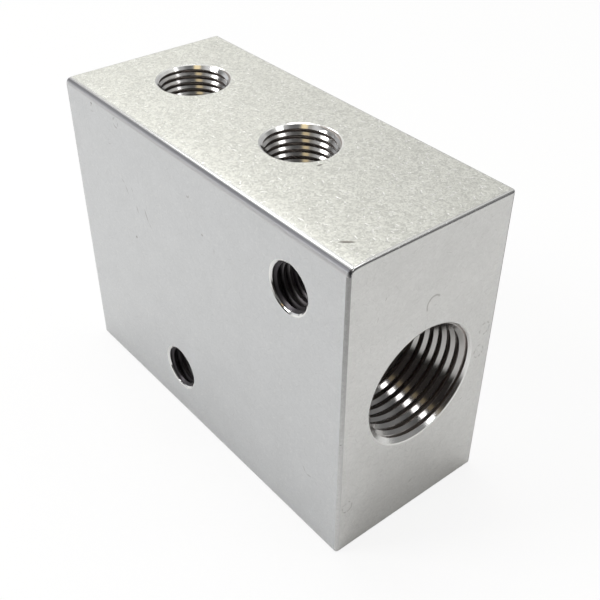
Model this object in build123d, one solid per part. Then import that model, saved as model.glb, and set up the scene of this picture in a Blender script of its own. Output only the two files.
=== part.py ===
from build123d import *
from math import radians, tan
import os

# Air manifold block, drilled and tapped from one piece of aluminium flat bar. Millimetres, +Z up.
# The origin is the middle of the base. The inlet opens in the +X end, the outlets open in the top,
# and the side holes run through from the front, which faces -Y. Threads are left at tap-drill size.

# The bar, sawn to length, with its edges worn round in the tumbler, and the one between the front
# and the top rounder than the rest
block_length = 58.0
block_depth = 25.0
block_height = 44.0
front_top_edge_radius = 1.0
upright_edge_radius = 0.4
level_edge_radius = 0.25

# The inlet, for a 3/8-18 taper pipe thread
inlet_from_front = 12.8
inlet_above_base = 21.6
inlet_tap_drill_dia = 14.7
inlet_tap_drill_depth = 17.0
inlet_countersink_dia = 17.4

# The gallery, drilled on from the bottom of the inlet and under every outlet
gallery_dia = 9.5
gallery_past_last_passage = 1.0

# The outlets, for 1/8-27 taper pipe threads, and the passage from each down to the gallery
outlet_count = 2
outlet_spacing = 23.0
last_outlet_from_blind_end = 11.3
outlet_from_front = 13.3
outlet_tap_drill_dia = 8.6
outlet_tap_drill_depth = 13.0
outlet_countersink_dia = 10.3
passage_dia = 6.5

# The side holes, for 1/4-28 screws, one by the inlet and one under the gallery
side_hole_tap_drill_dia = 5.5
side_hole_countersink_dia = 6.9
upper_hole_from_inlet_end = 9.6
upper_hole_above_base = 36.3
lower_hole_from_blind_end = 23.4
lower_hole_above_base = 7.8

# The tools
drill_point_angle = 118.0
countersink_angle = 90.0
rim_break = 0.2
tool_run_in = 2.0

# Places worked out from the sizes above, in the block's own frame
inlet_end = block_length / 2
blind_end = -block_length / 2
front = -block_depth / 2
back = block_depth / 2


def drill(dia, depth):
    # A straight bore down from Z = 0, ending in the cone of the drill's point
    radius = dia / 2
    point_depth = radius / tan(radians(drill_point_angle / 2))
    outline = Polyline(
        (0, tool_run_in),
        (radius, tool_run_in),
        (radius, -depth),
        (0, -depth - point_depth),
        close=True,
    )
    return revolve(make_face(Plane.XZ * outline), Axis.Z)


def countersink(dia):
    # A cone down from Z = 0, with its rim broken at half the cone's slope
    rim_radius = dia / 2
    cone_radius = rim_radius - rim_break
    break_depth = rim_break * tan(radians(45 - countersink_angle / 4))
    cone_depth = cone_radius / tan(radians(countersink_angle / 2))
    outline = Polyline(
        (0, tool_run_in),
        (rim_radius, tool_run_in),
        (rim_radius, 0),
        (cone_radius, -break_depth),
        (0, -break_depth - cone_depth),
        close=True,
    )
    return revolve(make_face(Plane.XZ * outline), Axis.Z)


def make_blank():
    # The bar before drilling
    bar = Box(block_length, block_depth, block_height, align=(Align.CENTER, Align.CENTER, Align.MIN))
    top_long_edges = bar.edges().filter_by(Axis.X).group_by(Axis.Z)[-1]
    front_top_edge = top_long_edges.sort_by(Axis.Y)[0]
    bar = fillet([front_top_edge], front_top_edge_radius)
    bar = fillet(bar.edges().filter_by(Axis.Z), upright_edge_radius)
    return fillet(bar.edges().filter_by(Axis.Z, reverse=True), level_edge_radius)


def cut_inlet_and_gallery():
    # The inlet's countersink and tap drilling, and the long drilling that starts in its bottom
    last_outlet = blind_end + last_outlet_from_blind_end
    gallery_full_end = last_outlet - passage_dia / 2 - gallery_past_last_passage
    mouth = Plane(
        origin=(inlet_end, front + inlet_from_front, inlet_above_base),
        x_dir=(0, 1, 0),
        z_dir=(1, 0, 0),
    )
    tools = [
        countersink(inlet_countersink_dia),
        drill(inlet_tap_drill_dia, inlet_tap_drill_depth),
        drill(gallery_dia, inlet_end - gallery_full_end),
    ]
    return [mouth * tool for tool in tools]


def cut_outlets():
    # Each outlet's countersink and tap drilling, and the passage that stops at the gallery's axis
    cuts = []
    for place in range(outlet_count):
        along = blind_end + last_outlet_from_blind_end + place * outlet_spacing
        mouth = Plane(origin=(along, front + outlet_from_front, block_height), z_dir=(0, 0, 1))
        cuts.append(mouth * countersink(outlet_countersink_dia))
        cuts.append(mouth * drill(outlet_tap_drill_dia, outlet_tap_drill_depth))
        cuts.append(mouth * drill(passage_dia, block_height - inlet_above_base))
    return cuts


def cut_side_hole(along, height):
    # A through drilling with a countersink at each face
    front_mouth = Plane(origin=(along, front, height), z_dir=(0, -1, 0))
    back_mouth = Plane(origin=(along, back, height), z_dir=(0, 1, 0))
    return [
        front_mouth * drill(side_hole_tap_drill_dia, block_depth + tool_run_in),
        front_mouth * countersink(side_hole_countersink_dia),
        back_mouth * countersink(side_hole_countersink_dia),
    ]


def make_block():
    cuts = cut_inlet_and_gallery() + cut_outlets()
    cuts += cut_side_hole(inlet_end - upper_hole_from_inlet_end, upper_hole_above_base)
    cuts += cut_side_hole(blind_end + lower_hole_from_blind_end, lower_hole_above_base)
    return make_blank() - cuts


os.makedirs("parts", exist_ok=True)
export_step(make_block(), "parts/manifold_block.step")
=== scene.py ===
from math import asin, atan2, ceil, cos, pi, radians, sin, tan

import bmesh
import bpy
from mathutils import Matrix, Vector


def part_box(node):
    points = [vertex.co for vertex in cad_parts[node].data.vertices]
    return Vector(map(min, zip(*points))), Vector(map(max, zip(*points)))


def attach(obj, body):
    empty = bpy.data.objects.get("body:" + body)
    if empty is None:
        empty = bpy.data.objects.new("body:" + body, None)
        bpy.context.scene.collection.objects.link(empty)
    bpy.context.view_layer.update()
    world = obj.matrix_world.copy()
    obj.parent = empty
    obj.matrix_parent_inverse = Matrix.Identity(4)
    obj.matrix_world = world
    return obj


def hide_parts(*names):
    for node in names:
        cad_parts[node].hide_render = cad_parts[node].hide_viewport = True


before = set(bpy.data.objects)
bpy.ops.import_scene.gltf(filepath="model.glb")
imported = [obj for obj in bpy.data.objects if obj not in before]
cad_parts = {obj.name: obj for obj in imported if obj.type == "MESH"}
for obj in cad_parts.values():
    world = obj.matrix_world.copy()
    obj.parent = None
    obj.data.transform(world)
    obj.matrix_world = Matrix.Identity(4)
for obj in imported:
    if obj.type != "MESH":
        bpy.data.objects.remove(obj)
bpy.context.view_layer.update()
mm = 0.001                                   # sizes below are in millimetres, as on a drawing
print("frame loaded")


# Node graphs: sums are written as expressions, and every other node goes through Graph.node

class Wire:
    def __init__(self, graph, socket):
        self.graph = graph
        self.socket = socket

    def math(self, operation, other=None, flipped=False):
        pair = [self] if other is None else [self, other]
        if flipped:
            pair.reverse()
        return self.graph.node("ShaderNodeMath", {"operation": operation}, dict(enumerate(pair)))

    def __add__(self, other):
        return self.math("ADD", other)

    def __sub__(self, other):
        return self.math("SUBTRACT", other)

    def __rsub__(self, other):
        return self.math("SUBTRACT", other, flipped=True)

    def __mul__(self, other):
        return self.math("MULTIPLY", other)

    def __truediv__(self, other):
        return self.math("DIVIDE", other)

    def __gt__(self, other):
        return self.math("GREATER_THAN", other)

    def __lt__(self, other):
        return self.math("LESS_THAN", other)

    def __abs__(self):
        return self.math("ABSOLUTE")

    __radd__ = __add__

    def parts(self):
        return self.graph.node("ShaderNodeSeparateXYZ", {}, {"Vector": self}, output=(0, 1, 2))

    def smooth(self, low, high, atLow=0.0, atHigh=1.0):
        settings = {"interpolation_type": "SMOOTHSTEP"}
        values = {"Value": self, "From Min": low, "From Max": high, "To Min": atLow, "To Max": atHigh}
        return self.graph.node("ShaderNodeMapRange", settings, values)


class Graph:
    def __init__(self, tree):
        self.tree = tree
        tree.nodes.clear()

    def node(self, kind, settings=None, values=None, output=0):
        made = self.tree.nodes.new(kind)
        for name, value in (settings or {}).items():
            setattr(made, name, value)
        for name, value in (values or {}).items():
            socket = made.inputs[name]
            if isinstance(value, Wire):
                self.tree.links.new(value.socket, socket)
            else:
                socket.default_value = value
        if not len(made.outputs):
            return None
        if isinstance(output, tuple):
            return tuple(Wire(self, made.outputs[name]) for name in output)
        return Wire(self, made.outputs[output])

    def mix(self, factor, first, second):
        settings = {"data_type": "RGBA", "clamp_factor": True}
        return self.node("ShaderNodeMix", settings, {0: factor, 6: first, 7: second}, output=2)

    def vector(self, operation, first, second, output=0):
        return self.node("ShaderNodeVectorMath", {"operation": operation}, {0: first, 1: second}, output)

    def place(self, turn=(0, 0, 0)):
        # The object's own coordinates in millimetres, turned so that a face lies in X and Y
        spot = self.node("ShaderNodeTexCoord", output="Object")
        values = {"Vector": spot, "Scale": (1 / mm,) * 3, "Rotation": turn}
        return self.node("ShaderNodeMapping", {}, values)

    def noise(self, spot, size, detail=2.0, roughness=0.5, distortion=0.0):
        values = {
            "Vector": spot,
            "Scale": 1 / size,
            "Detail": detail,
            "Roughness": roughness,
            "Distortion": distortion,
        }
        return self.node("ShaderNodeTexNoise", {}, values)

    def bump(self, height):
        # The height is in millimetres
        return self.node("ShaderNodeBump", {}, {"Height": height, "Distance": mm, "Strength": 1.0})


def newMaterial(name):
    material = bpy.data.materials.new(name)
    material.use_nodes = True
    return material, Graph(material.node_tree)


# The camera, where the photographer stood

cameraSetup = {
    "eye": (82.07, -62.29, 95.24),
    "lookAt": (4.06, 4.72, 14.13),
    "roll": 1.14,                            # degrees
    "sensor": 36.0,                          # as wide as 35 mm film
    "lens": 54.7,
    "shift": (-0.0259, 0.0316),
    "clipStart": 10.0,
}


def makeCamera(setup):
    data = bpy.data.cameras.new("viewer")
    data.sensor_width = setup["sensor"]
    data.lens = setup["lens"]
    data.shift_x, data.shift_y = setup["shift"]
    data.clip_start = setup["clipStart"] * mm
    viewer = bpy.data.objects.new("viewer", data)
    eye = Vector(setup["eye"]) * mm
    sight = Vector(setup["lookAt"]) * mm - eye
    turned = sight.to_track_quat("-Z", "Y").to_matrix().to_4x4()
    rolled = turned @ Matrix.Rotation(radians(setup["roll"]), 4, "Z")
    viewer.matrix_world = Matrix.Translation(eye) @ rolled
    bpy.context.collection.objects.link(viewer)
    bpy.context.scene.camera = viewer


makeCamera(cameraSetup)


# Metal finishes

faceTurn = {                                 # puts each pair of faces in X and Y, with the depth in Z
    "top": (0, 0, 0),
    "front": (-pi / 2, 0, 0),
    "end": (-pi / 2, -pi / 2, 0),
}

# What the tumbled faces have in common. Each kind of scratch has one to a cell, in the share of cells
# given, with its length, width and bend.
tumbling = {
    "fine": {"cell": 0.6, "length": 0.2, "width": 0.1, "bend": 1.2, "share": 0.45},
    "large": {"cell": 1.2, "length": 0.4, "width": 0.16, "bend": 0.6, "share": 0.55},
    "shaded": {"cell": 1.1, "length": 0.7, "width": 0.06, "bend": 0.6, "share": 0.4},
    "fineWeight": 0.6,                       # against the large ones
    "shadedShift": (31.3, 17.9, 0),          # keeps the shaded ones off the bright ones' places
    "pairShift": (1.7, -2.3),                # of the depth, so that the two faces of a pair differ
    "grainSize": 0.55,
    "grainDetail": {"detail": 3, "roughness": 0.6, "distortion": 1.6},
    "grainContrast": 2.6,
    "cloudSize": 4.0,
    "cloudContrast": 0.6,
    # A bright scratch's colour is lighter than the metal's: partly the scratch's own look and partly a
    # painted glint
    "bright": (0.98, 0.98, 0.95, 1),
    "shade": (0.45, 0.45, 0.44, 1),
    "mark": (0.2, 0.18, 0.16, 1),
    "roughnessRange": 0.15,                  # rougher with the grain and smoother in a bright scratch
    "scratchDepth": 3.0,                     # of a bright scratch or a mark, against the grain
}
fleckShape = {
    "shortest": 0.3,                         # of the length given, before the random part is added
    "endFade": (0.5, 1.0),                   # of the way to the end
    "sideFade": (0.2, 1.0),
}
markEdges = {
    "solidTo": 0.4,                          # of the way out, where a mark starts to fade
    "arcFade": 0.15,
    "gapSize": 0.5,                          # the rings are broken up by wear
    "gap": (0.42, 0.58),
    "through": 1e6,                          # size along the depth, so that only X and Y count
}

# Marks are ellipses on one face: where, half sizes, degrees turned, and how dark. A ring has a wall,
# and an arc is the part of a ring towards one angle and as wide as the other.
topFinish = {
    "turn": faceTurn["top"],
    "depth": 22.0,                           # marks are on the side of the block past this depth
    "dark": (0.64, 0.64, 0.6, 1),
    "light": (0.84, 0.84, 0.79, 1),
    "grain": 1.9,
    "roughness": 0.38,
    "brightFlecks": 1.0,
    "darkFlecks": 0.25,
    "bump": 0.004,
    "marks": [
        {"at": (25.1, -9.35), "size": (1.15, 0.24), "turn": 51, "dark": 0.85},
        {"at": (11.1, -1.15), "size": (0.55, 0.24), "turn": 82, "dark": 0.8},
        {"at": (-5.9, -11.0), "size": (0.14, 0.14), "turn": 0, "dark": 0.7},
        {"at": (-26.0, 10.3), "size": (0.7, 0.1), "turn": 10, "dark": 0.3},
        {"at": (-25.6, 9.6), "size": (0.7, 0.1), "turn": 25, "dark": 0.3},
    ],
}
frontFinish = {
    "turn": faceTurn["front"],
    "depth": 0.0,
    # The front's tones are raised a little to make up for the light that this face gets: partly painted
    # light on the metal's tone
    "dark": (0.7, 0.71, 0.72, 1),
    "light": (0.79, 0.8, 0.81, 1),
    "grain": 0.7,
    "roughness": 0.48,
    "brightFlecks": 0.12,
    "darkFlecks": 0.16,
    "bump": 0.002,
    "marks": [
        {"at": (-22.1, 42.75), "size": (0.24, 0.24), "turn": 0, "dark": 0.65},
        {"at": (-22.2, 42.0), "size": (0.42, 0.42), "turn": 0, "dark": 0.25, "wall": 0.35},
        {"at": (-16.0, 42.3), "size": (0.55, 0.65), "turn": 0, "dark": 0.4, "wall": 0.3},
        {"at": (-15.9, 33.9), "size": (0.55, 0.09), "turn": -38, "dark": 0.4},
        {"at": (-15.1, 32.9), "size": (0.85, 0.1), "turn": -61, "dark": 0.4},
        {"at": (-13.7, 33.5), "size": (0.45, 0.09), "turn": -65, "dark": 0.35},
        {"at": (-12.85, 30.9), "size": (0.7, 0.11), "turn": -66, "dark": 0.4},
        {"at": (-10.6, 31.0), "size": (1.15, 0.12), "turn": -67, "dark": 0.5},
        {"at": (-9.8, 29.8), "size": (0.5, 0.08), "turn": -55, "dark": 0.3},
        {"at": (-14.0, 25.95), "size": (0.2, 0.26), "turn": 0, "dark": 0.8},
        {"at": (0.05, 39.1), "size": (0.3, 0.3), "turn": 0, "dark": 0.4, "wall": 0.6},
        {"at": (2.75, 34.75), "size": (0.28, 0.2), "turn": 0, "dark": 0.4},
        {"at": (5.15, 33.6), "size": (0.45, 0.09), "turn": 90, "dark": 0.3},
        {"at": (-18.4, 38.7), "size": (0.35, 0.3), "turn": 0, "dark": 0.2, "wall": 0.5},
        {"at": (22.5, 10.2), "size": (0.7, 0.1), "turn": -57, "dark": 0.3},
        {"at": (23.4, 9.75), "size": (0.6, 0.12), "turn": 8, "dark": 0.35},
    ],
}
endFinish = {
    "turn": faceTurn["end"],
    "depth": 0.0,
    # The end's tones are lighter than the other faces', raised to make up for the shaded floor that the
    # end reflects: painted light on the metal's tone
    "dark": (0.79, 0.79, 0.78, 1),
    "light": (0.92, 0.92, 0.91, 1),
    "grain": 0.8,
    "roughness": 0.45,
    "brightFlecks": 0.15,
    "darkFlecks": 0.2,
    "bump": 0.003,
    "marks": [
        {"at": (0.75, 33.55), "size": (1.1, 1.2), "turn": 0, "dark": 0.45, "wall": 0.18,
         "arc": (124, 165)},
        {"at": (10.8, 25.0), "size": (0.85, 0.9), "turn": 0, "dark": 0.3, "wall": 0.2},
        {"at": (10.3, 21.6), "size": (0.8, 0.95), "turn": 0, "dark": 0.3, "wall": 0.22},
        {"at": (-11.0, 7.8), "size": (0.8, 0.85), "turn": 0, "dark": 0.35, "wall": 0.2},
        {"at": (-7.0, 37.9), "size": (0.35, 0.1), "turn": 60, "dark": 0.3},
        {"at": (-8.0, 35.6), "size": (0.5, 0.1), "turn": 80, "dark": 0.2},
        {"at": (8.3, 14.7), "size": (0.3, 0.1), "turn": 20, "dark": 0.3},
        {"at": (0.2, 4.8), "size": (0.5, 0.14), "turn": 30, "dark": 0.25},
    ],
}


def metalShader(graph, colour, roughness, normal=None):
    values = {"Base Color": colour, "Metallic": 1.0, "Roughness": roughness}
    if normal:
        values["Normal"] = normal
    shader = graph.node("ShaderNodeBsdfPrincipled", {}, values)
    graph.node("ShaderNodeOutputMaterial", {}, {"Surface": shader})


def flecks(graph, spot, cell, length, width, bend, share):
    # One short scratch in each cell of the plane, turned, sized and bent at random
    settings = {"voronoi_dimensions": "2D"}
    values = {"Vector": spot, "Scale": 1 / cell}
    colour, centre = graph.node("ShaderNodeTexVoronoi", settings, values, output=("Color", "Position"))
    chance, turn, size = colour.parts()
    right, up, _ = graph.vector("SUBTRACT", spot, centre).parts()
    angle = turn * pi
    cosine = angle.math("COSINE")
    sine = angle.math("SINE")
    along = right * cosine + up * sine
    off = up * cosine - right * sine + along * along * (size - 0.5) * bend
    half = size * length + fleckShape["shortest"] * length
    ends = (abs(along) / half).smooth(*fleckShape["endFade"], 1, 0)
    sides = (abs(off) / width).smooth(*fleckShape["sideFade"], 1, 0)
    return ends * sides * (chance < share)


def markMask(graph, spot, mark):
    place = {
        "Vector": spot,
        "Location": (*mark["at"], 0),
        "Rotation": (0, 0, radians(mark["turn"])),
        "Scale": (*mark["size"], markEdges["through"]),
    }
    local = graph.node("ShaderNodeMapping", {"vector_type": "TEXTURE"}, place)
    reach = graph.vector("LENGTH", local, (0, 0, 0), output=1)
    if "wall" not in mark:
        return reach.smooth(markEdges["solidTo"], 1.0, mark["dark"], 0)
    ring = abs(reach - 1).smooth(0, mark["wall"], mark["dark"], 0)
    if "arc" not in mark:
        return ring * graph.noise(spot, markEdges["gapSize"], detail=1).smooth(*markEdges["gap"])
    towards, width = (radians(angle) for angle in mark["arc"])
    side = graph.vector("DOT_PRODUCT", local, (cos(towards), sin(towards), 0), output=1) / reach
    end = cos(width / 2)
    return ring * side.smooth(end - markEdges["arcFade"], end + markEdges["arcFade"])


def makeTumbled(name, finish):
    material, graph = newMaterial(name)
    spot = graph.place(finish["turn"])
    depth = spot.parts()[2]
    shiftX, shiftY = tumbling["pairShift"]
    shift = graph.node("ShaderNodeCombineXYZ", {}, {0: depth * shiftX, 1: depth * shiftY})
    plane = graph.vector("ADD", spot, shift)
    grain = graph.noise(spot, tumbling["grainSize"], **tumbling["grainDetail"])
    cloud = graph.noise(spot, tumbling["cloudSize"], detail=2)
    tone = 0.5 + (grain - 0.5) * (tumbling["grainContrast"] * finish["grain"])
    tone = tone + (cloud - 0.5) * tumbling["cloudContrast"]
    fine = flecks(graph, plane, **tumbling["fine"])
    large = flecks(graph, plane, **tumbling["large"])
    # Bright scratches are lighter in colour as well as smoother and tilted by the bump: partly a painted
    # glint
    bright = (fine * tumbling["fineWeight"] + large) * finish["brightFlecks"]
    shaded = flecks(graph, graph.vector("ADD", plane, tumbling["shadedShift"]), **tumbling["shaded"])
    colour = graph.mix(tone, finish["dark"], finish["light"])
    colour = graph.mix(bright, colour, tumbling["bright"])
    colour = graph.mix(shaded * finish["darkFlecks"], colour, tumbling["shade"])
    marks = 0.0
    for mark in finish["marks"]:
        marks = markMask(graph, spot, mark) + marks
    marks = marks * (depth > finish["depth"])
    colour = graph.mix(marks, colour, tumbling["mark"])
    change = tumbling["roughnessRange"]
    roughness = finish["roughness"] + (grain - 0.5) * change - bright * change
    deep = tumbling["scratchDepth"]
    height = (grain - bright * deep - shaded - marks * deep) * finish["bump"]
    metalShader(graph, colour, roughness, graph.bump(height))
    return material


# The worn edges. By the fade, an edge is darker towards the top of the block: painted shade, which
# stands in for the dark floor on the camera's side that the upright edges reflect.
levelEdgeFinish = {
    "light": (0.78, 0.78, 0.78, 1),
    "dark": (0.6, 0.6, 0.6, 1),
    "fade": 0.0,
}
# The upright edges' dark tone is painted shade, a painted reflection of the dark floor on the camera's
# side
uprightEdgeFinish = {
    "light": (0.7, 0.7, 0.7, 1),
    "dark": (0.36, 0.36, 0.36, 1),
    "fade": 1.0,
}
edgeGrain = {
    "size": 0.3,
    "detail": 3,
    "roughness": 0.6,
    "distortion": 1.0,
}
nicking = {
    "noise": {"size": 0.9, "detail": 4, "roughness": 0.7},
    "from": (0.62, 0.72),                    # where in the noise a nick starts and is full
    "darkening": 0.5,
    "roughness": (0.2, 0.35),                # of the bare edge and in a nick
    "grainHeight": 0.4,                      # against a nick's depth
    "bump": 0.01,
    "heights": (0, 44),                      # of the block's foot and top
}


def makeEdgeWearAndShade(name, finish):
    material, graph = newMaterial(name)
    spot = graph.place()
    grain = graph.noise(spot, **edgeGrain)
    nicks = graph.noise(spot, **nicking["noise"]).smooth(*nicking["from"])
    height = spot.parts()[2].smooth(*nicking["heights"])
    # The grain and nicks are wear; the height term is painted shade, darker towards the top
    wear = grain + nicks * nicking["darkening"] + (height - 0.5) * finish["fade"]
    colour = graph.mix(wear, finish["light"], finish["dark"])
    bare, nicked = nicking["roughness"]
    bump = graph.bump((grain * nicking["grainHeight"] - nicks) * nicking["bump"])
    metalShader(graph, colour, bare + nicks * (nicked - bare), bump)
    return material


frontEdgeFinish = {
    "light": (0.75, 0.75, 0.76, 1),
    "reach": (-25, 20),                      # along the block, where it is least and most dark
    "shadeAtBlindEnd": (0.2, 0.2, 0.21, 1),
    "shadeAtInletEnd": (0.14, 0.14, 0.15, 1),
    "shadeRamp": (0.18, 0.36),                # of the way round the edge from the top
    "shadeRampBack": (0.48, 0.8),                   # and where that goes over to the front's tone
    "roughness": (0.22, 0.5),                # over the top, and in the painted dark band
    "patchiness": 0.4,
    "bump": 0.004,
}
darkThreadFinish = {
    # The mouth's near-black is painted shade
    "mouth": (0.07, 0.065, 0.07, 1),
    "inside": (0.42, 0.4, 0.41, 1),
    "halfThickness": 12.5,                   # of the block, from its middle to a mouth
    "shadeRamp": (0.5, 3.5),                  # depth below the face where it starts and is full
    "roughness": 0.42,
}
threadFinish = {
    "crestTone": (0.52, 0.51, 0.5, 1),
    "rootShadeTone": (0.38, 0.34, 0.32, 1),
    "rootShadeFrom": (0.48, 0.8),                  # nearness to the root where the painted shade starts and is full
    "rootShadeGrain": 0.25,
    "patchiness": 0.3,
    "roughness": (0.14, 0.4),                # on the crests and in the painted root shade
}
turnedFinish = {
    "colour": (0.86, 0.86, 0.85, 1),
    "roughness": 0.12,
    "dulledRoughness": 0.21,
}
drilledFinish = {
    "colour": (0.7, 0.69, 0.67, 1),
    "roughness": 0.3,
}


def makeThread(finish):
    material, graph = newMaterial("cut_thread")
    # The threads are darker towards each root: painted shade in the roots
    near = graph.node("ShaderNodeAttribute", {"attribute_name": "near_root"}, output="Fac")
    grain = graph.noise(graph.place(), finish["rootShadeGrain"], detail=2)
    rootShade = (near + (grain - 0.5) * finish["patchiness"]).smooth(*finish["rootShadeFrom"])
    colour = graph.mix(rootShade, finish["crestTone"], finish["rootShadeTone"])
    metalShader(graph, colour, rootShade.smooth(0, 1, *finish["roughness"]))
    return material


def makeFrontEdge(finish):
    # The front's upper edge, which is bright above and has a painted dark band below: painted shade, a
    # painted reflection of the dark floor on the camera's side, darkest by the inlet's end
    material, graph = newMaterial("front_edge")
    spot = graph.place()
    tilt = graph.node("ShaderNodeAttribute", {"attribute_name": "edge_tilt"}, output="Fac")
    grain = graph.noise(spot, **edgeGrain)
    along = spot.parts()[0].smooth(*finish["reach"])
    patches = along + (grain - 0.5) * finish["patchiness"]
    # These dark tones are painted shade along the edge, darkest by the inlet's end
    bare = graph.mix(patches, finish["shadeAtBlindEnd"], finish["shadeAtInletEnd"])
    starts = tilt.smooth(*finish["shadeRamp"])
    # worn is the painted dark band round the edge
    worn = starts * tilt.smooth(*finish["shadeRampBack"], 1, 0)
    colour = graph.mix(worn, finish["light"], bare)
    roughness = starts.smooth(0, 1, *finish["roughness"])
    metalShader(graph, colour, roughness, graph.bump(grain * finish["bump"]))
    return material


def makeDarkThread(finish):
    # Painted dark at the mouths and lighter further in: painted shade over the side holes' threads and
    # the inner part of their countersinks
    material, graph = newMaterial("dark_thread")
    depth = finish["halfThickness"] - abs(graph.place().parts()[1])
    inner = depth.smooth(*finish["shadeRamp"])
    metalShader(graph, graph.mix(inner, finish["mouth"], finish["inside"]), finish["roughness"])
    return material


def makePlain(name, colour, roughness):
    material, graph = newMaterial(name)
    metalShader(graph, colour, roughness)
    return material


topFace = makeTumbled("tumbled_top", topFinish)
frontFace = makeTumbled("tumbled_front", frontFinish)
endFace = makeTumbled("tumbled_end", endFinish)
wornEdge = makeEdgeWearAndShade("worn_edge", levelEdgeFinish)
uprightEdge = makeEdgeWearAndShade("upright_edge_wear_and_shade", uprightEdgeFinish)
frontEdge = makeFrontEdge(frontEdgeFinish)
turnedCone = makePlain("turned_countersink", turnedFinish["colour"], turnedFinish["roughness"])
dulledCone = makePlain("dulled_countersink", turnedFinish["colour"], turnedFinish["dulledRoughness"])
cutThread = makeThread(threadFinish)
darkThread = makeDarkThread(darkThreadFinish)
drilledBore = makePlain("drilled_bore", drilledFinish["colour"], drilledFinish["roughness"])
print("finishes made")


# The block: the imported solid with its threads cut

inletPort = {
    "mouth": (29.0, 0.3, 21.6),
    "outward": (1, 0, 0),
    "across": (0, 1, 0),
    "rimRadius": 8.7,
    "cone": dulledCone,
    "brightTo": 1.0,                         # further in, a cone has the thread's finish
    "tapDrillRadius": 7.35,
    "drillDepth": 17.0,
    "pitch": 25.4 / 18,
    "majorRadius": 8.53,                     # at the mouth
    "thread": cutThread,
    "rootShadeReach": 0.75,                        # how far in from the root the painted shade reaches
    "taper": 1 / 32,                         # of the radius, for each mm of depth
    "threadDepth": 13.5,
    "crestBevel": 0.41,                      # the turned-over part of each flank, by the tip
    "startAngle": 140.0,                     # degrees round the axis, from the across direction
    "steps": 144,
}
outletPort = {
    "outward": (0, 0, 1),
    "across": (1, 0, 0),
    "rimRadius": 5.15,
    "cone": turnedCone,
    "brightTo": 1.0,
    "tapDrillRadius": 4.3,
    "drillDepth": 13.0,
    "pitch": 25.4 / 27,
    "majorRadius": 5.02,
    "thread": cutThread,
    "rootShadeReach": 0.5,
    "taper": 1 / 32,
    "crestBevel": 0.28,
    "threadDepth": 10.0,
    "steps": 108,
}
nearOutlet = {**outletPort, "mouth": (5.3, 0.8, 44.0), "startAngle": 120.0}
farOutlet = {**outletPort, "mouth": (-17.7, 0.8, 44.0), "startAngle": 102.0}
sideHole = {
    "outward": (0, -1, 0),
    "across": (1, 0, 0),
    "rimRadius": 3.45,
    "cone": turnedCone,
    "tapDrillRadius": 2.75,
    "through": 25.0,
    "pitch": 25.4 / 28,
    "majorRadius": 3.175,
    "thread": darkThread,
    "brightTo": 3.12,
    "taper": 0.0,
    "crestBevel": 0.0,
    "steps": 60,
}
upperHole = {**sideHole, "mouth": (19.4, -12.5, 36.3), "startAngle": 327.0}
lowerHole = {**sideHole, "mouth": (-5.6, -12.5, 7.8), "startAngle": 335.0}
allPorts = {
    "inlet": inletPort,
    "near_outlet": nearOutlet,
    "far_outlet": farOutlet,
    "upper_hole": upperHole,
    "lower_hole": lowerHole,
}

cutting = {
    "threadAngle": 60.0,
    "bevelAngle": 90.0,                      # between the turned-over parts of two flanks
    "rootFlat": 0.08,                        # of the pitch
    "crestFlat": 0.02,
    "runOutTurns": 2.5,                      # the tap's lead, where the thread fades
    "drillPoint": 118.0,
    "rimBreak": 0.2,
    "rimBreakDrop": 0.083,                   # from the face to the break's lower rim
    "runIn": 2.0,                            # how far each tool stands out of the metal
    "recut": 0.01,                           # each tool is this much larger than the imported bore
    "spareTurns": 2,                         # of the tap at each end, which are trimmed off
    "weld": 1e-4,                            # points closer than this are one
}
flankRun = tan(radians(cutting["threadAngle"] / 2))
bevelRun = tan(radians(cutting["bevelAngle"] / 2))


def faceAlong(mouth, outward, across):
    zAxis = Vector(outward)
    xAxis = Vector(across)
    turned = Matrix((xAxis, zAxis.cross(xAxis), zAxis)).transposed().to_4x4()
    return Matrix.Translation(mouth) @ turned


def spinOutline(bm, points, steps):
    # The points are (radius, height) pairs round the Z axis, closed on the axis at both ends
    line = [bm.verts.new((radius, 0, height)) for radius, height in points]
    edges = [bm.edges.new(pair) for pair in zip(line, line[1:])]
    bmesh.ops.spin(bm, geom=line + edges, axis=(0, 0, 1), cent=(0, 0, 0), angle=2 * pi, steps=steps,
                   use_merge=True)
    bmesh.ops.remove_doubles(bm, verts=bm.verts, dist=cutting["weld"])
    bmesh.ops.recalc_face_normals(bm, faces=bm.faces)


def countersinkTool(port):
    # The cone's inner part, within brightTo, takes the tool's second material
    bm = bmesh.new()
    rim = port["rimRadius"] + cutting["recut"]
    cone = rim - cutting["rimBreak"]
    drop = cutting["rimBreakDrop"]
    top = cutting["runIn"]
    inner = port["brightTo"]
    bend = -drop - cone + inner
    outline = [(0, top), (rim, top), (rim, 0), (cone, -drop), (inner, bend), (0, -drop - cone)]
    spinOutline(bm, outline, port["steps"])
    for face in bm.faces:
        middle = face.calc_center_median()
        face.material_index = 1 if middle.z < -drop and middle.xy.length < inner else 0
    return bm


def offMiddle(vert, pitch):
    # How far a point of the spun zigzag stands, along the axis, from the middle of its groove
    angle = atan2(vert.co.y, vert.co.x) / (2 * pi)
    middle = (round(vert.co.z / pitch - angle) + angle) * pitch
    return vert.co.z - middle


def toothPoints(port):
    # Half of the groove: how far each point is from its middle, and how far in from its root
    pitch = port["pitch"]
    root = cutting["rootFlat"] * pitch / 2
    crest = (1 - cutting["crestFlat"]) * pitch / 2
    bend = crest - port["crestBevel"] * bevelRun
    bendDrop = min((bend - root) / flankRun, port["majorRadius"] - port["tapDrillRadius"])
    bend = root + bendDrop * flankRun
    return [(root, 0), (bend, bendDrop), (crest, bendDrop + port["crestBevel"])]


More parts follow.
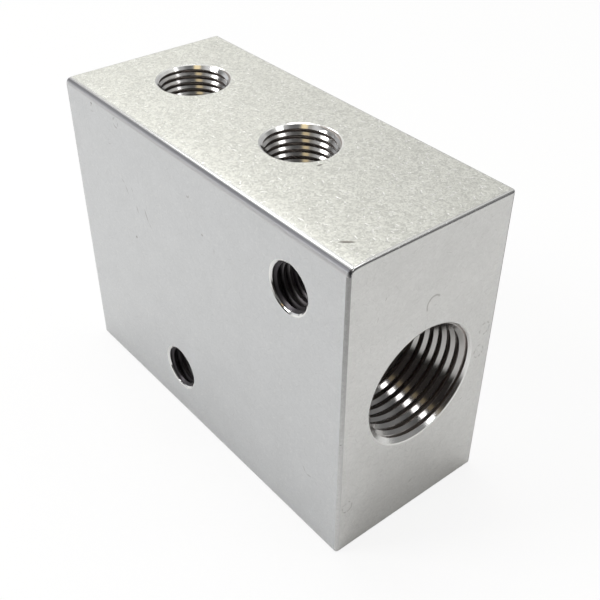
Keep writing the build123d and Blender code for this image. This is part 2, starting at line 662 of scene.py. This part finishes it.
def tapTool(port):
    # One tooth of the tap for each turn is spun up by a pitch, so that every turn meets the next
    bm = bmesh.new()
    pitch = port["pitch"]
    through = "through" in port
    bottom = -port["through"] - cutting["runIn"] if through else -port["threadDepth"]
    bore = port["tapDrillRadius"] + cutting["recut"]
    tooth = toothPoints(port)
    lowest = ceil(-bottom / pitch) + cutting["spareTurns"]
    highest = ceil(cutting["runIn"] / pitch) + cutting["spareTurns"]
    line = []
    for turn in range(-lowest, highest):
        for off in [-point[0] for point in reversed(tooth)] + [point[0] for point in tooth]:
            line.append(bm.verts.new((port["majorRadius"], 0, turn * pitch + off)))
    edges = [bm.edges.new(pair) for pair in zip(line, line[1:])]
    bmesh.ops.spin(bm, geom=line + edges, axis=(0, 0, 1), cent=(0, 0, 0), angle=2 * pi,
                   steps=port["steps"], dvec=(0, 0, pitch / port["steps"]))
    bmesh.ops.remove_doubles(bm, verts=bm.verts, dist=cutting["weld"])
    for vert in bm.verts:
        off = offMiddle(vert, pitch)
        major = port["majorRadius"] + vert.co.z * port["taper"]
        radius = major - min(tooth, key=lambda point: abs(abs(off) - point[0]))[1]
        if not through:
            turnsLeft = (vert.co.z - bottom) / pitch - 1
            radius = bore + (radius - bore) * min(max(turnsLeft / cutting["runOutTurns"], 0), 1)
        vert.co.xy = vert.co.xy.normalized() * max(radius, bore)
    trimEnds(bm, cutting["runIn"], bottom)
    if not through:
        addDrillPoint(bm, port, bore, bottom)
    bmesh.ops.recalc_face_normals(bm, faces=bm.faces)
    return bm


def trimEnds(bm, top, bottom):
    # Both ends are cut off level and closed
    for height, way in ((top, 1), (bottom, -1)):
        everything = bm.verts[:] + bm.edges[:] + bm.faces[:]
        bmesh.ops.bisect_plane(bm, geom=everything, plane_co=(0, 0, height), plane_no=(0, 0, way),
                               clear_outer=True, dist=cutting["weld"] / 10)
        loose = [edge for edge in bm.edges if edge.is_boundary]
        rim = [edge for edge in loose if abs(edge.verts[0].co.z - height) < cutting["weld"] * 10]
        bmesh.ops.edgeloop_fill(bm, edges=rim)


def addDrillPoint(bm, port, bore, bottom):
    # The last turn has faded to the bore, so its end is carried down and drawn to the drill's point
    end = min(bm.faces, key=lambda face: face.calc_center_median().z)
    wall = bmesh.ops.extrude_face_region(bm, geom=[end])
    bmesh.ops.delete(bm, geom=[end], context="FACES_ONLY")
    ring = [item for item in wall["geom"] if isinstance(item, bmesh.types.BMVert)]
    floor = [item for item in wall["geom"] if isinstance(item, bmesh.types.BMFace)]
    bmesh.ops.translate(bm, verts=ring, vec=(0, 0, -port["drillDepth"] - bottom))
    tip = bmesh.ops.poke(bm, faces=floor)
    pointDepth = bore / tan(radians(cutting["drillPoint"] / 2))
    bmesh.ops.translate(bm, verts=tip["verts"], vec=(0, 0, -pointDepth))


def finishTool(bm, name, place, turn, materials):
    bmesh.ops.rotate(bm, verts=bm.verts, cent=(0, 0, 0), matrix=Matrix.Rotation(radians(turn), 3, "Z"))
    bmesh.ops.transform(bm, verts=bm.verts, matrix=Matrix.Scale(mm, 4) @ place)
    mesh = bpy.data.meshes.new(name)
    bm.to_mesh(mesh)
    bm.free()
    for material in materials:
        mesh.materials.append(material)
    tool = bpy.data.objects.new(name, mesh)
    bpy.context.collection.objects.link(tool)
    return tool


def portTools(name, port):
    place = faceAlong(port["mouth"], port["outward"], port["across"])
    sinkFinish = [port["cone"], port["thread"]]
    tools = [
        finishTool(tapTool(port), name + "_tap", place, port["startAngle"], [port["thread"]]),
        finishTool(countersinkTool(port), name + "_sink", place, 0, sinkFinish),
    ]
    if "through" in port:
        farSide = place @ Matrix.Translation((0, 0, -port["through"])) @ Matrix.Rotation(pi, 4, "X")
        tools.append(finishTool(countersinkTool(port), name + "_far_sink", farSide, 0, sinkFinish))
    return tools


def cut(body, tools):
    # All tools cut at once, because a tool after a tool can leave a part of one standing
    rack = bpy.data.collections.new("tools")
    for tool in tools:
        rack.objects.link(tool)
    boolean = body.modifiers.new("cut", "BOOLEAN")
    boolean.operation = "DIFFERENCE"
    boolean.solver = "EXACT"
    boolean.operand_type = "COLLECTION"
    boolean.collection = rack
    boolean.material_mode = "TRANSFER"
    dressed = body.evaluated_get(bpy.context.evaluated_depsgraph_get())
    mesh = bpy.data.meshes.new_from_object(dressed)
    body.modifiers.clear()
    body.data = mesh
    for tool in tools:
        bpy.data.objects.remove(tool)
    bpy.data.collections.remove(rack)


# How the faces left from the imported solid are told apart. All but inside and rollReach are parts of
# the face's normal.
sorting = {
    "inside": 0.45,                          # further in from the box than this is a drilled passage
    "frontEdgeRise": (0.02, 0.96),           # the front's upper edge looks up by this much
    "frontEdgeForward": 0.2,                 # and towards the front by more than this
    "rollRise": 0.95,                        # the worn strip of the top
    "rollReach": (1.0, 3.0),                 # and how far it is from the front face
    "flat": 0.9995,                          # a face that looks straight along an axis
    "uprightRise": 0.05,                     # an upright edge looks up or down by less than this
    "uprightTurn": 0.02,                     # and along both level axes by more than this
}


def boxCorners():
    return [Vector(corner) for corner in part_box("manifold_block")]


def finishOf(face, low, high):
    spot = face.center
    inside = min(min(spot[axis] - low[axis], high[axis] - spot[axis]) for axis in range(3))
    x, y, z = face.normal
    leastRise, mostRise = sorting["frontEdgeRise"]
    rollStart, rollEnd = sorting["rollReach"]
    if inside > sorting["inside"] * mm:
        return drilledBore
    if leastRise < z < mostRise and y < -sorting["frontEdgeForward"]:
        return frontEdge
    if z > sorting["rollRise"] and low.y + rollStart * mm < spot.y < low.y + rollEnd * mm:
        return topFace
    for part, finish in ((z, topFace), (y, frontFace), (x, endFace)):
        if abs(part) > sorting["flat"]:
            return finish
    if abs(z) < sorting["uprightRise"] and min(abs(x), abs(y)) > sorting["uprightTurn"]:
        return uprightEdge
    return wornEdge


def dressFaces(mesh):
    # The faces that the tools cut have their finish already
    for kind in (topFace, frontFace, endFace, drilledBore, uprightEdge, frontEdge):
        mesh.materials.append(kind)
    kinds = list(mesh.materials)
    low, high = boxCorners()
    for face in mesh.polygons:
        if kinds[face.material_index] == wornEdge:
            face.material_index = kinds.index(finishOf(face, low, high))


def shadeRoots(mesh):
    # How near each point of a thread with painted root shade is to its root, from 0 to 1
    shade = mesh.attributes.new("near_root", "FLOAT", "POINT")
    for port in allPorts.values():
        if "rootShadeReach" not in port:
            continue
        place = Matrix.Scale(mm, 4) @ faceAlong(port["mouth"], port["outward"], port["across"])
        away = place.inverted()
        for vert in mesh.vertices:
            spot = away @ vert.co
            if spot.xy.length < port["rimRadius"] and spot.z > -port["threadDepth"]:
                drop = port["majorRadius"] + spot.z * port["taper"] - spot.xy.length
                shade.data[vert.index].value = 1 - min(max(drop / port["rootShadeReach"], 0), 1)


# The strip of the top that is worn down towards the front, and the edge below it
frontRoll = {
    "reach": 2.6,                            # from the front face
    "loops": 12,
    "drop": 0.2,                             # at the front face, by the inlet's end
    "dropAtBlindEnd": 0.06,
    "packedRadius": 1.0,
    "radius": 0.8,                           # of the edge itself
    "weld": 1e-4,
}


def arcDrop(radius, inward):
    # How far a rounded edge is below the face that it runs out of
    return radius - (radius ** 2 - max(radius - inward, 0) ** 2) ** 0.5


def rollFrontEdge(bm, roll):
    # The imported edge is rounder, because it stands for both the worn strip and the edge that is left
    low, high = boxCorners()
    packed = roll["packedRadius"] * mm
    reach = roll["reach"] * mm
    weld = roll["weld"] * mm
    for loop in range(roll["loops"]):
        across = low.y + reach * (1 - (loop + 0.5) / roll["loops"])
        top = [face for face in bm.faces if face.calc_center_median().z > high.z - packed]
        edges = {edge for face in top for edge in face.edges}
        verts = {vert for face in top for vert in face.verts}
        bmesh.ops.bisect_plane(bm, geom=top + list(edges) + list(verts), plane_co=(0, across, 0),
                               plane_no=(0, 1, 0), dist=weld)
    for vert in bm.verts:
        inward = max(vert.co.y - low.y, 0)
        below = high.z - vert.co.z
        if inward < reach and below < packed + weld * 10:
            along = (vert.co.x - low.x) / (high.x - low.x)
            drop = roll["dropAtBlindEnd"] + (roll["drop"] - roll["dropAtBlindEnd"]) * along
            beside = max(below - arcDrop(packed, inward), 0)
            edge = arcDrop(roll["radius"] * mm, inward)
            vert.co.z = high.z - edge - beside - drop * mm * (1 - inward / reach) ** 2


def shadeFrontEdge(mesh, roll):
    # How far round the front's upper edge each point is: 0 on the top and 1 on the front
    shade = mesh.attributes.new("edge_tilt", "FLOAT", "POINT")
    low, _ = boxCorners()
    for vert in mesh.vertices:
        inward = (vert.co.y - low.y) / (roll["radius"] * mm)
        shade.data[vert.index].value = asin(min(max(1 - inward, 0), 1)) * 2 / pi


# The bend, in degrees, from which an edge is sharp. A thread's flanks stay crisp, and a worn edge
# stays round however tight it is.
sharpFrom = {
    "thread": 13,
    "worn": 50,
    "other": 18,
}


def markSharp(mesh):
    kinds = list(mesh.materials)
    bm = bmesh.new()
    bm.from_mesh(mesh)
    for edge in bm.edges:
        pair = {kinds[face.material_index] for face in edge.link_faces}
        limit = sharpFrom["other"]
        if pair <= {cutThread, darkThread}:
            limit = sharpFrom["thread"]
        elif pair <= {wornEdge, uprightEdge, frontEdge, topFace, frontFace}:
            limit = sharpFrom["worn"]
        edge.smooth = edge.calc_face_angle(0) < radians(limit)
    bm.to_mesh(mesh)
    bm.free()


def makeBlock():
    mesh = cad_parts["manifold_block"].data.copy()
    bm = bmesh.new()
    bm.from_mesh(mesh)
    bmesh.ops.remove_doubles(bm, verts=bm.verts, dist=frontRoll["weld"] * mm)
    rollFrontEdge(bm, frontRoll)
    bm.to_mesh(mesh)
    bm.free()
    mesh.materials.clear()
    mesh.materials.append(wornEdge)
    body = bpy.data.objects.new("threaded_block", mesh)
    bpy.context.collection.objects.link(body)
    tools = []
    for portName, port in allPorts.items():
        tools += portTools(portName, port)
    cut(body, tools)
    shadeRoots(body.data)
    shadeFrontEdge(body.data, frontRoll)
    dressFaces(body.data)
    body.data.shade_smooth()
    markSharp(body.data)
    weigh = body.modifiers.new("weigh_normals", "WEIGHTED_NORMAL")
    weigh.keep_sharp = True
    return body


block = makeBlock()
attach(block, "root")
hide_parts("manifold_block")
print("block cut:", len(block.data.polygons), "faces")


# The floor and the studio's light

studio = {
    "floorSize": 4.0,                        # metres
    "paperColour": (0.8, 0.8, 0.8, 1),       # the paper, and the painted floor shade beyond it, as the block sees them
    "floorShadeColour": (0.03, 0.028, 0.026, 1),
    "paperMiddle": (-0.3, 0.34),             # metres
    "paperReach": (0.5, 0.65),               # where the paper ends and where the painted floor shade is full
    "seenColour": (0.97, 0.97, 0.97, 1),     # what the camera sees of the floor
    "seenGlow": 0.86,
    "white": (1, 1, 1, 1),                   # of the glow, and what the camera sees beyond the floor
    "ceiling": (0.16, 0.16, 0.16, 1),
    "lampsAim": (0, 0, 0.03),                # metres
    "glossyBounces": 12,                     # so that light finds its way out of the threads
}
# Lamps: azimuth from +X, height in degrees and distance in metres, size in metres, radiance
lamps = {
    "key": {"from": (-123, 39, 0.55), "size": (0.19, 0.25), "radiance": 9.0},
    "over": {"from": (150, 82, 0.6), "size": (0.26, 0.26), "radiance": 4.2},
    "rim": {"from": (164, 48, 0.55), "size": (0.24, 0.13), "radiance": 1.9},
    "back": {"from": (42, 52, 0.55), "size": (0.11, 0.11), "radiance": 4.0},
    "side": {"from": (8, 32, 0.55), "size": (0.07, 0.13), "radiance": 5.0},
}
# Soft cards round the block: azimuth, height, inner and outer half angle, and colour
cards = [
    {"at": (118, 34), "reach": (30, 75), "colour": (0.9, 0.9, 0.87, 1)},
    {"at": (-25, 15), "reach": (35, 52), "colour": (0.035, 0.03, 0.028, 1)},
    {"at": (110, 8), "reach": (10, 45), "colour": (0.52, 0.52, 0.52, 1)},
    {"at": (-162, 8), "reach": (10, 30), "colour": (0.7, 0.71, 0.73, 1)},
    {"at": (-85, 60), "reach": (10, 28), "colour": (0.36, 0.35, 0.33, 1)},
    {"at": (-107, 56), "reach": (4, 14), "colour": (0.6, 0.6, 0.6, 1)},
    {"at": (62, 22), "reach": (12, 26), "colour": (0.25, 0.25, 0.25, 1)},
    {"at": (31, 60), "reach": (4, 13), "colour": (0.42, 0.42, 0.42, 1)},
    {"at": (-57, 66), "reach": (4, 9), "colour": (1.0, 0.82, 0.5, 1)},
    {"at": (-6, 28), "reach": (2, 5), "colour": (0.28, 0.22, 0.13, 1)},
    {"at": (-101, 36), "reach": (3, 5), "colour": (0.7, 0.5, 0.25, 1)},
    {"at": (88, 2), "reach": (4, 20), "colour": (0.5, 0.5, 0.5, 1)},
]


def makeFloor(setup):
    bm = bmesh.new()
    bmesh.ops.create_grid(bm, x_segments=1, y_segments=1, size=setup["floorSize"] / 2)
    mesh = bpy.data.meshes.new("floor")
    bm.to_mesh(mesh)
    bm.free()
    material, graph = newMaterial("floor_paper")
    spot = graph.node("ShaderNodeTexCoord", output="Object")
    # Beyond the paper, and nearest on the camera's side, the floor is painted dark for all but camera
    # rays: a painted shadow that the block reflects
    offset = graph.vector("SUBTRACT", spot, (*setup["paperMiddle"], 0))
    bare = graph.vector("LENGTH", offset, (0, 0, 0), output=1).smooth(*setup["paperReach"])
    colour = graph.mix(bare, setup["paperColour"], setup["floorShadeColour"])
    lit = graph.node("ShaderNodeBsdfDiffuse", {}, {"Color": colour})
    paper = graph.node("ShaderNodeBsdfDiffuse", {}, {"Color": setup["seenColour"]})
    glow = graph.node("ShaderNodeEmission", {}, {"Color": setup["white"], "Strength": 1.0})
    seen = graph.node("ShaderNodeMixShader", {}, {0: setup["seenGlow"], 1: paper, 2: glow})
    straight = graph.node("ShaderNodeLightPath", output="Is Camera Ray")
    shader = graph.node("ShaderNodeMixShader", {}, {0: straight, 1: lit, 2: seen})
    graph.node("ShaderNodeOutputMaterial", {}, {"Surface": shader})
    mesh.materials.append(material)
    floor = bpy.data.objects.new("floor", mesh)
    bpy.context.collection.objects.link(floor)


def wayTo(azimuth, height):
    # The direction from the block, from two angles in degrees
    turn = Matrix.Rotation(radians(azimuth), 3, "Z") @ Matrix.Rotation(radians(-height), 3, "Y")
    return turn @ Vector((1, 0, 0))


def makeLamp(name, setup, aim):
    azimuth, height, distance = setup["from"]
    data = bpy.data.lights.new(name, "AREA")
    data.shape = "RECTANGLE"
    data.size, data.size_y = setup["size"]
    data.energy = setup["radiance"] * pi * data.size * data.size_y      # the watts that give it
    lamp = bpy.data.objects.new(name, data)
    lamp.visible_camera = False
    way = wayTo(azimuth, height)
    turned = (-way).to_track_quat("-Z", "Y").to_matrix().to_4x4()
    lamp.matrix_world = Matrix.Translation(aim + way * distance) @ turned
    bpy.context.collection.objects.link(lamp)


def makeWorld(setup, softCards):
    world = bpy.data.worlds.new("studio")
    bpy.context.scene.world = world
    world.use_nodes = True
    graph = Graph(world.node_tree)
    looking = graph.node("ShaderNodeTexCoord", output="Generated")
    colour = setup["ceiling"]
    for card in softCards:
        inner, outer = card["reach"]
        facing = graph.vector("DOT_PRODUCT", looking, tuple(wayTo(*card["at"])), output=1)
        shine = facing.smooth(cos(radians(outer)), cos(radians(inner)))
        colour = graph.mix(shine, colour, card["colour"])
    straight = graph.node("ShaderNodeLightPath", output="Is Camera Ray")
    colour = graph.mix(straight, colour, setup["white"])
    shader = graph.node("ShaderNodeBackground", {}, {"Color": colour, "Strength": 1.0})
    graph.node("ShaderNodeOutputWorld", {}, {"Surface": shader})


makeFloor(studio)
makeWorld(studio, cards)
for lampName, lampSetup in lamps.items():
    makeLamp(lampName, lampSetup, Vector(studio["lampsAim"]))
bpy.context.scene.cycles.glossy_bounces = studio["glossyBounces"]
bpy.context.scene.view_settings.view_transform = "Standard"
print("studio lit")
